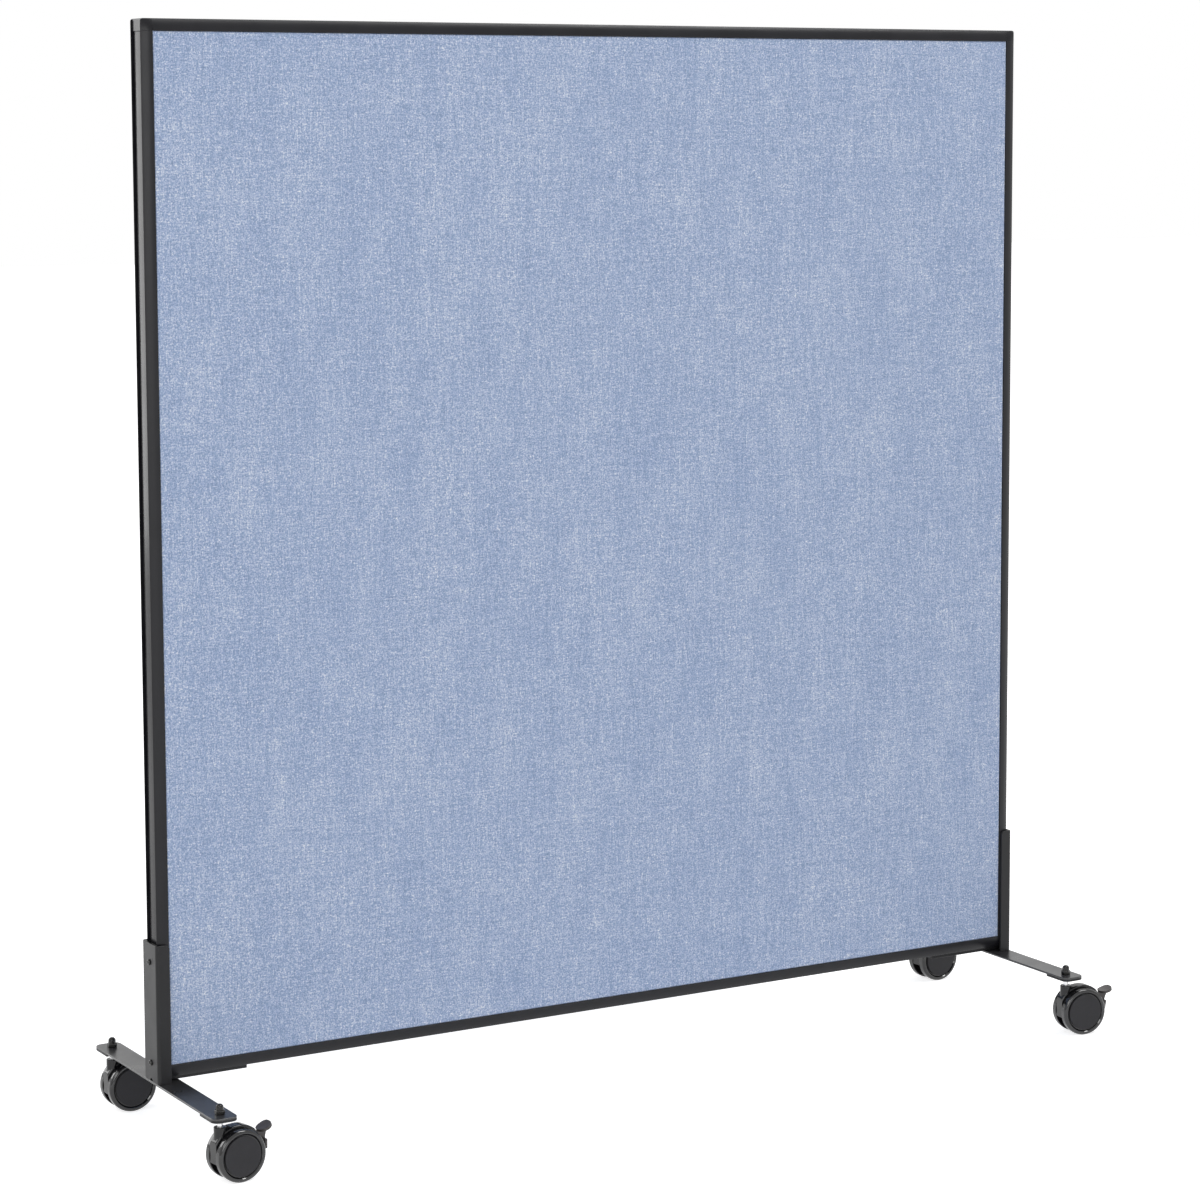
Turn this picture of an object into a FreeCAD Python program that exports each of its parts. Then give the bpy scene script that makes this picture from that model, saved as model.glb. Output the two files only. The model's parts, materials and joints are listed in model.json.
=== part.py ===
import FreeCAD, Part
import math
import os

# Lengths are in millimetres and angles in degrees. The floor is at zero height,
# the panel stands along X, and its front faces the negative Y side.

# Panel
panel_width = 1530.0
panel_height = 1524.0
panel_thickness = 44.5
panel_lift = 107.0

# Frame of hollow bars round the panel
frame_face = 17.5
frame_round = 4.5
frame_wall = 1.6
channel_width = 34.0
channel_depth = 7.0
spline_width = 6.0
spline_depth = 4.0
spline_clearance = 0.2
spigot_length = 30.0
spigot_clearance = 0.15

# Strip that fills the channel in each end of the panel
strip_width = 28.0
strip_face_depth = 2.0
strip_recess = 0.6
strip_web_width = 12.0
corner_groove_depth = 2.0

# Covered boards on both faces
board_thickness = 9.5
fabric_thickness = 1.0
fabric_recess = 1.0
fabric_round = 2.0

# Foot bars and the pads under their ends
foot_length = 448.0
foot_width = 39.0
foot_thickness = 3.2
foot_outset = 4.5
foot_drop = 8.0
foot_corner_round = 11.0
pad_length = 50.0
pad_thickness = 3.2

# Upright sheet bracket round each end of the panel
upright_sheet = 4.5
upright_height = 205.0
upright_reach = 16.0
upright_bend_round = 5.5
upright_top_round = 6.0
upright_clearance = 0.2
notch_radius = 4.5
tongue_length = 143.5
tongue_width = 16.0

# Screws through the upright brackets
screw_radius = 2.4
screw_head_radius = 4.5
screw_head_height = 2.4
screw_tip_past_wall = 3.0
screw_hole_clearance = 0.3
screw_end_distance = 28.0

# Caster stems and their domed nuts
stem_inset = 24.0
stem_radius = 4.0
stem_end_clearance = 0.3
stem_collar_radius = 7.0
stem_collar_height = 3.0
stem_in_nut = 8.0
nut_sides = 6
nut_across_flats = 13.0
nut_hex_height = 6.5
nut_dome_radius = 5.6
nut_top_radius = 3.0
nut_height = 15.0

# Caster wheels, caps and axles, with distances across taken from the caster's middle
wheel_radius = 38.1
wheel_inner_side = 9.4
wheel_outer_side = 21.8
wheel_shoulder = 3.6
cap_radius = 30.8
cap_clearance = 0.05
cap_thickness = 3.5
cap_stand_out = 0.3
axle_radius = 3.0
axle_end_clearance = 0.3
running_clearance = 0.05

# Caster body, with runs and heights taken from the axle
caster_trail = 25.0
body_width = 17.6
boss_radius = 9.0
boss_top = 43.0
boss_bottom = 0.0
boss_bore_bottom = 9.0
skirt_run = 36.5
skirt_bottom = -9.0
crown_radius = 42.3
crown_end_run = 22.0
crown_edge = 2.4
hub_drop = 10.5
hub_side_run = 9.0
hub_side_drop = 5.4
ear_radius = 6.5

# Brake lever of the front casters, with runs and heights taken from the axle
pivot_run = 30.0
pivot_height = 14.0
pivot_pin_radius = 2.0
lug_radius = 5.0
lug_width = 7.5
lever_clearance = 0.4
slot_start_run = 23.5
slot_bottom = 3.0
slot_top = 26.0
neck_run = 45.4
neck_height = 13.0
shoe_inner_run = 42.2
shoe_outer_run = 48.0
shoe_bottom = 1.0
shoe_top = 7.0
shoe_width = 23.0
paddle_base_run = 31.0
paddle_base_height = 28.4
paddle_tip_run = 52.0
paddle_tip_height = 33.4
paddle_sag = 1.3
paddle_thickness = 3.2
paddle_base_width = 20.0
paddle_tip_width = 27.0
paddle_tip_bulge = 4.0
spine_root_share = 0.3
spine_end_share = 0.85

# Turn of each caster about its stem, as it was left standing
front_left_turn = 6.0
front_right_turn = -8.4
rear_left_turn = 1.0
rear_right_turn = 3.0

# Press of each brake lever, as it was left standing
front_left_press = 0.0
front_right_press = 8.0

# Length by which every cutting solid runs past the face it cuts
overrun = 2.0

half_turn = 180.0
parallel_share = 0.999
up = FreeCAD.Vector(0, 0, 1)
along = FreeCAD.Vector(1, 0, 0)
across = FreeCAD.Vector(0, 1, 0)
middle = FreeCAD.Vector(0, 0, 0)

# Sizes that follow from the ones above
half_width = panel_width / 2
half_thickness = panel_thickness / 2
panel_top = panel_lift + panel_height
inside_right = half_width - frame_face
inside_bottom = panel_lift + frame_face
inside_top = panel_top - frame_face
panel_centre = FreeCAD.Vector(0, 0, panel_lift + panel_height / 2)
channel_floor = half_width - channel_depth
core_half_thickness = half_thickness - fabric_recess - fabric_thickness - board_thickness
foot_top = panel_lift - foot_drop
foot_bottom = foot_top - foot_thickness
pad_bottom = foot_bottom - pad_thickness
foot_middle = half_width + foot_outset - foot_width / 2
stem_spread = foot_length / 2 - stem_inset
upright_top = foot_top + upright_height
screw_heights = [foot_top + screw_end_distance, upright_top - screw_end_distance]
collar_bottom = pad_bottom - stem_collar_height
nut_corner_radius = nut_across_flats / 2 / math.cos(math.pi / nut_sides)
half_body = body_width / 2
cap_seat_side = wheel_outer_side + cap_stand_out - cap_thickness


def block(x_range, y_range, z_range):
    size = [high - low for low, high in (x_range, y_range, z_range)]
    corner = FreeCAD.Vector(x_range[0], y_range[0], z_range[0])
    return Part.makeBox(size[0], size[1], size[2], corner)


def both_ways(width):
    return (-width / 2, width / 2)


def round_bar(radius, start, end):
    line = end - start
    return Part.makeCylinder(radius, line.Length, start, line)


def upright_bar(radius, bottom, top, x=0, y=0):
    return round_bar(radius, FreeCAD.Vector(x, y, bottom), FreeCAD.Vector(x, y, top))


def cross_bar(radius, y_range, run=0, height=0):
    start = FreeCAD.Vector(run, y_range[0], height)
    return round_bar(radius, start, FreeCAD.Vector(run, y_range[1], height))


def plate(wire, width):
    """Side outline in the XZ plane, spread evenly to both sides of it."""
    face = Part.Face(wire)
    face.translate(across * (-width / 2))
    return face.extrude(across * width)


def side_point(run, height):
    return FreeCAD.Vector(run, 0, height)


def line_edge(start, end):
    return Part.LineSegment(start, end).toShape()


def arc_edge(start, via, end):
    return Part.Arc(start, via, end).toShape()


def straight_edges(shape, direction, test):
    """Edges that run along a direction and whose middle passes the test."""
    found = []
    for edge in shape.Edges:
        run = edge.Vertexes[-1].Point - edge.Vertexes[0].Point
        if run.Length and abs(run.dot(direction)) / run.Length > parallel_share:
            if test(edge.CenterOfMass):
                found.append(edge)
    return found


def turned(shape, axis, angle=half_turn, centre=panel_centre):
    copy = shape.copy()
    copy.rotate(centre, axis, angle)
    return copy


# Frame

def lobes(out_range, long_range, maker):
    """Hollows in front of and behind the middle hollow of a frame bar."""
    near = channel_width / 2 + frame_wall
    far = half_thickness - frame_wall
    return [maker(out_range, span, long_range) for span in ((near, far), (-far, -near))]


def right_post():
    post = block((inside_right, half_width), both_ways(panel_thickness), (inside_bottom, inside_top))
    outer = straight_edges(post, up, lambda point: point.x > half_width - frame_wall)
    post = post.makeFillet(frame_round, outer)
    post = post.fuse(block((inside_right - spline_depth, inside_right),
                           both_ways(spline_width), (inside_bottom, inside_top)))
    through = (inside_bottom - overrun, inside_top + overrun)
    hollow = block((inside_right + frame_wall, channel_floor - frame_wall),
                   both_ways(channel_width - 2 * frame_wall), through)
    channel = block((channel_floor, half_width + overrun), both_ways(channel_width), through)
    sides = lobes((inside_right + frame_wall, half_width - frame_round), through, block)
    holes = screw_holes(screw_radius, inside_right + frame_wall)
    return post.cut([hollow, channel] + sides + holes)


def screw_holes(radius, start):
    return [round_bar(radius, FreeCAD.Vector(start, 0, height),
                      FreeCAD.Vector(half_width + upright_sheet + overrun, 0, height))
            for height in screw_heights]


def rail_block(out_range, y_range, long_range):
    return block(long_range, y_range, out_range)


def top_rail():
    length = (-inside_right, inside_right)
    rail = block(length, both_ways(panel_thickness), (inside_top, panel_top))
    outer = straight_edges(rail, along, lambda point: point.z > panel_top - frame_wall)
    rail = rail.makeFillet(frame_round, outer)
    spline_end = inside_right - spline_depth - spline_clearance
    rail = rail.fuse(block((-spline_end, spline_end), both_ways(spline_width),
                           (inside_top - spline_depth, inside_top)))
    through = (-inside_right - overrun, inside_right + overrun)
    hollow = rail_block((inside_top + frame_wall, panel_top - frame_wall),
                        both_ways(channel_width - 2 * frame_wall), through)
    sides = lobes((inside_top + frame_wall, panel_top - frame_round), through, rail_block)
    return rail.cut([hollow] + sides)


def corner_block(direction, test):
    corner = block((inside_right, half_width), both_ways(panel_thickness), (inside_top, panel_top))
    return corner.makeFillet(frame_round, straight_edges(corner, direction, test))


def top_right_corner():
    corner = corner_block(up, lambda point: point.x > half_width - frame_wall)
    corner = corner.common(corner_block(along, lambda point: point.z > panel_top - frame_wall))
    corner = corner.common(corner_block(across, lambda point: point.x > half_width - frame_wall
                                        and point.z > panel_top - frame_wall))
    shrink = frame_wall + spigot_clearance
    spigot_across = both_ways(channel_width - 2 * shrink)
    into_post = block((inside_right + shrink, channel_floor - shrink), spigot_across,
                      (inside_top - spigot_length, inside_top))
    into_rail = block((inside_right - spigot_length, inside_right), spigot_across,
                      (inside_top + shrink, panel_top - shrink))
    return corner.fuse([into_post, into_rail]).cut(corner_grooves())


def corner_grooves():
    """Grooves that carry the strip's two side gaps on over a corner."""
    deep = (half_width - corner_groove_depth, half_width + overrun)
    tall = (inside_top - overrun, panel_top + overrun)
    near, far = strip_width / 2, channel_width / 2
    return [block(deep, span, tall) for span in ((near, far), (-far, -near))]


def right_strip():
    face_outside = half_width - strip_recess
    length = (inside_bottom, inside_top)
    strip = block((face_outside - strip_face_depth, face_outside), both_ways(strip_width), length)
    strip = strip.fuse(block((channel_floor, face_outside - strip_face_depth),
                             both_ways(strip_web_width), length))
    return strip.cut(screw_holes(screw_radius + screw_hole_clearance, channel_floor - overrun))


# Boards and fabric between the frame bars

def panel_core():
    core = block((-inside_right, inside_right), both_ways(2 * core_half_thickness),
                 (inside_bottom, inside_top))
    groove = both_ways(spline_width + 2 * spline_clearance)
    deep = spline_depth + spline_clearance
    wide = (-inside_right - overrun, inside_right + overrun)
    tall = (inside_bottom - overrun, inside_top + overrun)
    return core.cut([block((inside_right - deep, wide[1]), groove, tall),
                     block((wide[0], deep - inside_right), groove, tall),
                     block(wide, groove, (inside_top - deep, tall[1])),
                     block(wide, groove, (tall[0], inside_bottom + deep))])


def soft_edged_slab(inset, depth, edge_round):
    """Slab against the front of the core, with its four front edges rounded."""
    front = -core_half_thickness - depth
    slab = block((inset - inside_right, inside_right - inset), (front, -core_half_thickness),
                 (inside_bottom + inset, inside_top - inset))
    edges = [edge for edge in slab.Edges if edge.BoundBox.YMax < front + edge_round]
    return slab.makeFillet(edge_round, edges)


def front_board():
    return soft_edged_slab(fabric_thickness, board_thickness, fabric_round - fabric_thickness)


def front_fabric():
    return soft_edged_slab(0, board_thickness + fabric_thickness, fabric_round).cut(front_board())


# Feet

def right_foot_bar():
    left = foot_middle - foot_width / 2
    bar = block((left, left + foot_width), both_ways(foot_length), (foot_bottom, foot_top))
    bar = bar.makeFillet(foot_corner_round, straight_edges(bar, up, lambda point: True))
    return bar.cut([stem_hole(stem_spread), stem_hole(-stem_spread)])


def stem_hole(y):
    return upright_bar(stem_radius, pad_bottom - overrun, foot_top + overrun, foot_middle, y)


def right_front_pad():
    left = foot_middle - foot_width / 2
    end = -foot_length / 2
    pad = block((left, left + foot_width), (end, end + pad_length), (pad_bottom, foot_bottom))
    outer = straight_edges(pad, up, lambda point: point.y < end + foot_corner_round)
    return pad.makeFillet(foot_corner_round, outer).cut(stem_hole(-stem_spread))


def right_upright():
    inner_width = panel_thickness + 2 * upright_clearance
    start = half_width - upright_reach
    sheet = block((start, half_width + upright_sheet), both_ways(inner_width + 2 * upright_sheet),
                  (foot_top, upright_top))
    bends = straight_edges(sheet, up, lambda point: point.x > half_width)
    sheet = sheet.makeFillet(upright_bend_round, bends)
    space = block((start - overrun, half_width), both_ways(inner_width),
                  (foot_top - overrun, upright_top + overrun))
    inner_bends = straight_edges(space, up, lambda point: point.x > half_width - overrun)
    space = space.makeFillet(upright_bend_round - upright_sheet, inner_bends)
    sheet = sheet.cut(space)
    tips = straight_edges(sheet, across, lambda point: point.x < start + overrun
                          and point.z > upright_top - overrun)
    sheet = sheet.makeFillet(upright_top_round, tips)
    notch = round_bar(notch_radius, FreeCAD.Vector(half_width - overrun, 0, foot_top),
                      FreeCAD.Vector(half_width + upright_sheet + overrun, 0, foot_top))
    return sheet.cut(screw_holes(screw_radius + screw_hole_clearance, start) + [notch])


def right_tongue():
    return block((half_width - tongue_length, half_width), both_ways(tongue_width),
                 (foot_top, panel_lift))


def right_screw(height):
    outside = half_width + upright_sheet
    tip = channel_floor - frame_wall - screw_tip_past_wall
    shank = round_bar(screw_radius, FreeCAD.Vector(tip, 0, height),
                      FreeCAD.Vector(outside, 0, height))
    head = round_bar(screw_head_radius, FreeCAD.Vector(outside, 0, height),
                     FreeCAD.Vector(outside + screw_head_height, 0, height))
    return shank.fuse(head)


# Stems of the casters, at the middle of the floor plan before they are placed

def caster_stem():
    bottom = wheel_radius + boss_bore_bottom + stem_end_clearance
    stem = upright_bar(stem_radius, bottom, foot_top + stem_in_nut)
    return stem.fuse(upright_bar(stem_collar_radius, collar_bottom, pad_bottom))


def stem_nut():
    turns = [2 * math.pi * side / nut_sides for side in range(nut_sides + 1)]
    points = [FreeCAD.Vector(nut_corner_radius * math.cos(turn),
                             nut_corner_radius * math.sin(turn), foot_top) for turn in turns]
    nut = Part.Face(Part.makePolygon(points)).extrude(up * nut_hex_height)
    dome = Part.makeCone(nut_dome_radius, nut_top_radius, nut_height - nut_hex_height,
                         FreeCAD.Vector(0, 0, foot_top + nut_hex_height), up)
    return nut.fuse(dome).cut(upright_bar(stem_radius, foot_top - overrun, foot_top + stem_in_nut))


# Casters, with the axle through the middle of the floor plan at zero height

def spun(points):
    """Solid of revolution round the axle, from points given as radius and distance across."""
    places = [FreeCAD.Vector(radius, side, 0) for radius, side in points + points[:1]]
    return Part.Face(Part.makePolygon(places)).revolve(middle, across, 2 * half_turn)


def far_wheel():
    bore = axle_radius + running_clearance
    worn = wheel_shoulder * (1 - math.sqrt(2) / 2)
    return spun([(bore, wheel_inner_side), (wheel_radius, wheel_inner_side),
                 (wheel_radius, wheel_outer_side - wheel_shoulder),
                 (wheel_radius - worn, wheel_outer_side - worn),
                 (wheel_radius - wheel_shoulder, wheel_outer_side), (cap_radius, wheel_outer_side),
                 (cap_radius, cap_seat_side), (bore, cap_seat_side)])


def far_cap():
    return cross_bar(cap_radius - cap_clearance, (cap_seat_side, cap_seat_side + cap_thickness))


def axle():
    reach = cap_seat_side - axle_end_clearance
    return cross_bar(axle_radius, (-reach, reach))


def body_outline():
    low_front = side_point(-skirt_run, skirt_bottom)
    high_front = side_point(-skirt_run, crown_radius)
    crown_end = side_point(crown_end_run, crown_radius)
    ear_top = side_point(pivot_run + ear_radius, pivot_height)
    ear_side = side_point(pivot_run + ear_radius * math.sqrt(2) / 2,
                          pivot_height - ear_radius * math.sqrt(2) / 2)
    ear_bottom = side_point(pivot_run, pivot_height - ear_radius)
    hub_back = side_point(hub_side_run, -hub_side_drop)
    hub_front = side_point(-hub_side_run, -hub_side_drop)
    return Part.Wire([line_edge(low_front, high_front), line_edge(high_front, crown_end),
                      line_edge(crown_end, ear_top), arc_edge(ear_top, ear_side, ear_bottom),
                      line_edge(ear_bottom, hub_back),
                      arc_edge(hub_back, side_point(0, -hub_drop), hub_front),
                      line_edge(hub_front, low_front)])


def edged_disc():
    """Disc as wide as the body whose rim gives the crown its slanted edges."""
    inner = crown_radius - crown_edge
    return spun([(0, -half_body), (inner, -half_body), (crown_radius, crown_edge - half_body),
                 (crown_radius, half_body - crown_edge), (inner, half_body), (0, half_body)])


def caster_body():
    body = plate(body_outline(), body_width).common(edged_disc())
    body = body.fuse(upright_bar(boss_radius, boss_bottom, boss_top, -caster_trail))
    bore = upright_bar(stem_radius + running_clearance, boss_bore_bottom, boss_top + overrun,
                       -caster_trail)
    return body.cut([bore, cross_bar(axle_radius, both_ways(body_width + 2 * overrun))])


def braked_body():
    slot = block((slot_start_run, pivot_run + ear_radius + overrun),
                 both_ways(lug_width + 2 * lever_clearance), (slot_bottom, slot_top))
    pin_hole = cross_bar(pivot_pin_radius, both_ways(body_width + 2 * overrun),
                         pivot_run, pivot_height)
    return caster_body().cut([slot, pin_hole])


def pivot_pin():
    return cross_bar(pivot_pin_radius, both_ways(body_width), pivot_run, pivot_height)


def paddle_ends():
    return side_point(paddle_base_run, paddle_base_height), side_point(paddle_tip_run, paddle_tip_height)


def paddle():
    """Toe plate that widens to its bulging tip and sags a little between its ends."""
    base, tip = paddle_ends()
    run = tip - base
    below = FreeCAD.Vector(run.z, 0, -run.x).normalize()
    sag = (base + tip) / 2 + below * paddle_sag
    drop = below * paddle_thickness
    outline = Part.Wire([arc_edge(base, sag, tip), line_edge(tip, tip + drop),
                         arc_edge(tip + drop, sag + drop, base + drop), line_edge(base + drop, base)])
    half_base, half_tip = paddle_base_width / 2, paddle_tip_width / 2
    start, shoulder = base.x, tip.x - paddle_tip_bulge
    corners = [FreeCAD.Vector(x, y, 0) for x, y in ((shoulder, half_tip), (start, half_base),
                                                    (start, -half_base), (shoulder, -half_tip))]
    edges = [line_edge(first, second) for first, second in zip(corners, corners[1:])]
    edges.append(arc_edge(corners[-1], FreeCAD.Vector(tip.x, 0, 0), corners[0]))
    plan = Part.Face(Part.Wire(edges)).extrude(up * (tip.z + overrun))
    return plate(outline, paddle_tip_width).common(plan)


def brake_lever():
    base, tip = paddle_ends()
    root = base + (tip - base) * spine_root_share - up * paddle_thickness / 2
    end = base + (tip - base) * spine_end_share - up * paddle_thickness / 2
    lug_high = side_point(pivot_run, pivot_height + lug_radius)
    lug_front = side_point(pivot_run - lug_radius, pivot_height)
    lug_low = side_point(pivot_run, pivot_height - lug_radius)
    neck = side_point(neck_run, neck_height)
    outer_high = side_point(shoe_outer_run, shoe_top)
    outer_low = side_point(shoe_outer_run, shoe_bottom)
    inner_low = side_point(shoe_inner_run, shoe_bottom)
    inner_high = side_point(shoe_inner_run, shoe_top)
    spine = Part.Wire([line_edge(lug_high, root), line_edge(root, end), line_edge(end, neck),
                       line_edge(neck, outer_high), line_edge(outer_high, outer_low),
                       line_edge(outer_low, inner_low), line_edge(inner_low, inner_high),
                       line_edge(inner_high, lug_low), arc_edge(lug_low, lug_front, lug_high)])
    shoe = block((shoe_inner_run, shoe_outer_run), both_ways(shoe_width), (shoe_bottom, shoe_top))
    hole = cross_bar(pivot_pin_radius + running_clearance, both_ways(lug_width + 2 * overrun),
                     pivot_run, pivot_height)
    return plate(spine, lug_width).fuse([shoe, paddle()]).cut(hole).removeSplitter()


# Placing and writing

def placed_caster(shape, x_side, y_side, turn):
    copy = shape.copy()
    copy.translate(FreeCAD.Vector(caster_trail, 0, wheel_radius))
    copy.rotate(middle, up, turn)
    copy.translate(FreeCAD.Vector(x_side * foot_middle, y_side * stem_spread, 0))
    return copy


def placed_stem(shape, x_side, y_side):
    copy = shape.copy()
    copy.translate(FreeCAD.Vector(x_side * foot_middle, y_side * stem_spread, 0))
    return copy


def save(name, shape):
    shape.exportStep("parts/" + name + ".step")


def save_frame():
    save("right_post", right_post())
    save("left_post", turned(right_post(), up))
    save("top_rail", top_rail())
    save("bottom_rail", turned(top_rail(), along))
    corner = top_right_corner()
    save("top_right_corner", corner)
    save("top_left_corner", turned(corner, up))
    drilled = turned(corner, along).cut(screw_holes(screw_radius, inside_right))
    save("bottom_right_corner", drilled)
    save("bottom_left_corner", turned(drilled, up))
    save("right_filler_strip", right_strip())
    save("left_filler_strip", turned(right_strip(), up))


def save_boards():
    save("panel_core", panel_core())
    save("front_board", front_board())
    save("rear_board", turned(front_board(), up))
    save("front_fabric", front_fabric())
    save("rear_fabric", turned(front_fabric(), up))


def save_feet():
    for name, shape in (("foot_bar", right_foot_bar()), ("upright_bracket", right_upright()),
                        ("support_tongue", right_tongue())):
        save("right_" + name, shape)
        save("left_" + name, turned(shape, up))
    pad = right_front_pad()
    mirror_across = pad.mirror(middle, across)
    save("right_front_pad", pad)
    save("right_rear_pad", mirror_across)
    save("left_front_pad", turned(mirror_across, up))
    save("left_rear_pad", turned(pad, up))
    screws = [right_screw(height) for height in screw_heights]
    save("bracket_screws", Part.makeCompound(screws + [turned(screw, up) for screw in screws]))


corners = {"front_left": (-1, -1, front_left_turn), "front_right": (1, -1, front_right_turn),
           "rear_left": (-1, 1, rear_left_turn), "rear_right": (1, 1, rear_right_turn)}
presses = {"front_left": front_left_press, "front_right": front_right_press}


def save_stems():
    for name, shape in (("caster_stems", caster_stem()), ("stem_nuts", stem_nut())):
        save(name, Part.makeCompound([placed_stem(shape, x_side, y_side)
                                      for x_side, y_side, turn in corners.values()]))


def save_casters():
    wheel, cap = far_wheel(), far_cap()
    plain = {"axle": axle(), "far_wheel": wheel, "far_cap": cap,
             "near_wheel": turned(wheel, up, centre=middle), "near_cap": turned(cap, up, centre=middle)}
    pivot = side_point(pivot_run, pivot_height)
    for corner, (x_side, y_side, turn) in corners.items():
        own = {"body": caster_body()}
        if corner in presses:
            lever = turned(brake_lever(), across, presses[corner], pivot)
            own = {"body": braked_body(), "brake_pin": pivot_pin(), "brake_lever": lever}
        for name, shape in {**plain, **own}.items():
            save(corner + "_" + name, placed_caster(shape, x_side, y_side, turn))


os.makedirs("parts", exist_ok=True)
save_frame()
save_boards()
save_feet()
save_stems()
save_casters()
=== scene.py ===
# %% [markdown]
# ## A rolling office screen, dressed piece by piece
# The screen is a square, cloth-covered panel in a slim dark frame. It stands on two cross feet
# with twin-wheel casters. The imported solids are the fixed frame here: every piece below is made
# in the same place and size, so nothing has to be fitted afterwards.

# %% Load the solids
import json
import math

import bmesh
import bpy
from mathutils import Matrix, Vector, noise


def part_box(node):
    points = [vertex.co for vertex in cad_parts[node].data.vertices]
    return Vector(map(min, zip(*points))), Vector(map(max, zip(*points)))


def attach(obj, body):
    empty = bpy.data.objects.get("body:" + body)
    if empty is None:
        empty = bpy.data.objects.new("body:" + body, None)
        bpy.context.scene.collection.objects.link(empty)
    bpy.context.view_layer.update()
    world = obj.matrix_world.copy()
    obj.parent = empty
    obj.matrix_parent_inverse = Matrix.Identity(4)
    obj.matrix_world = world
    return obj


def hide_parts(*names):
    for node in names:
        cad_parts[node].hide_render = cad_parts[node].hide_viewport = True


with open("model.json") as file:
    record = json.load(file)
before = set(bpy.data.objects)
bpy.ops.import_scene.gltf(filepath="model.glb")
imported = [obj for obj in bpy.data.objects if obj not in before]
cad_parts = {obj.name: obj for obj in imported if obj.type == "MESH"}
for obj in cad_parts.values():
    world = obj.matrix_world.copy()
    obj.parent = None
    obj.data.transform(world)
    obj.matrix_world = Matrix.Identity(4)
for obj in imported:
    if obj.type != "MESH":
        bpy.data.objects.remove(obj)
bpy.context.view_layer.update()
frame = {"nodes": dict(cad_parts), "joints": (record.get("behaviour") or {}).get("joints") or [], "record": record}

# %% [markdown]
# ## What carries each piece
# A piece has to move with the body that carries it, and it takes its finish from a named slot.
# Both facts are already in the record, and the frame lists the joints, so three small look-up
# tables save writing any of it again.

# %% Look up bodies, slots and joints
record = frame["record"]
body_of = {node: body for body, nodes in record["behaviour"]["bodies"].items() for node in nodes}
slot_of = {part["node"]: part["material_slot"] for part in record["subparts"]}
joint_of = {joint["name"]: joint for joint in frame["joints"]}

# %% [markdown]
# ## A finish is a small node tree
# Every finish starts from the Principled shader. Numbers that are the same all over go straight
# on its sockets. What varies, such as tone, grain and gloss, is driven by noise that reads Object
# coordinates, in metres, so the pattern has a real size and stays put when the piece moves.

# %% Helpers for node trees
def start_finish(name, colour, roughness):
    finish = bpy.data.materials.new(name)
    finish.use_nodes = True
    shader = finish.node_tree.nodes["Principled BSDF"]
    shader.inputs["Base Color"].default_value = (*colour, 1.0)
    shader.inputs["Roughness"].default_value = roughness
    return finish, finish.node_tree, shader


def add_node(tree, kind, inputs=None, **settings):
    """Node whose inputs are either linked to another node's output or set to a plain value."""
    node = tree.nodes.new(kind)
    for name, value in settings.items():
        setattr(node, name, value)
    for socket, value in (inputs or {}).items():
        if isinstance(value, bpy.types.NodeSocket):
            tree.links.new(value, node.inputs[socket])
        else:
            node.inputs[socket].default_value = value
    return node


def sums(tree, operation, first, second=0.0):
    return add_node(tree, "ShaderNodeMath", {0: first, 1: second}, operation=operation).outputs[0]


# %% Helpers for noise and mixing
noise_low, noise_high = 0.3, 0.7
mix_share, value_a, value_b, colour_a, colour_b = 0, 2, 3, 6, 7
value_mixed, colour_mixed = 0, 2


def places(tree, stretch=(1.0, 1.0, 1.0)):
    """Object coordinates, squeezed along each axis by its stretch."""
    source = add_node(tree, "ShaderNodeTexCoord").outputs["Object"]
    inverse = tuple(1.0 / share for share in stretch)
    return add_node(tree, "ShaderNodeMapping", {"Vector": source, "Scale": inverse}).outputs[0]


def grain(tree, size, stretch=(1.0, 1.0, 1.0), detail=2.0):
    """Soft noise whose blobs are about as wide as size."""
    where = places(tree, stretch)
    settings = {"Vector": where, "Scale": 1.0 / size, "Detail": detail}
    return add_node(tree, "ShaderNodeTexNoise", settings).outputs[0]


def spread(tree, value, low, high):
    """Stretches the range that noise mostly keeps to, from low to high."""
    settings = {"Value": value, "From Min": noise_low, "From Max": noise_high, "To Min": low, "To Max": high}
    return add_node(tree, "ShaderNodeMapRange", settings).outputs[0]


def blend_values(tree, share, first, second):
    sockets = {mix_share: share, value_a: first, value_b: second}
    return add_node(tree, "ShaderNodeMix", sockets).outputs[value_mixed]


def blend_colours(tree, share, first, second):
    sockets = {mix_share: share, colour_a: first, colour_b: second}
    return add_node(tree, "ShaderNodeMix", sockets, data_type="RGBA").outputs[colour_mixed]


def add_bump(tree, shader, height, strength, depth):
    bump = add_node(tree, "ShaderNodeBump", {"Height": height, "Strength": strength, "Distance": depth})
    tree.links.new(bump.outputs[0], shader.inputs["Normal"])


# %% [markdown]
# ## Coats and plastics
# Paint, powder coat and moulded plastic differ in tone, in gloss and in the size and depth of their
# skin texture. One function can therefore make them all: a broad noise shifts the tone a little, a
# finer one roughens the gloss, and a bump gives the orange peel or the grit that a close look shows.
# How much of the white studio a dark coat mirrors is set by its specular level.

# %% A coat with tone, gloss and grit
fine_detail, broad_detail = 3.0, 4.0
fine_share, broad_share = 0.5, 0.5


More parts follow.
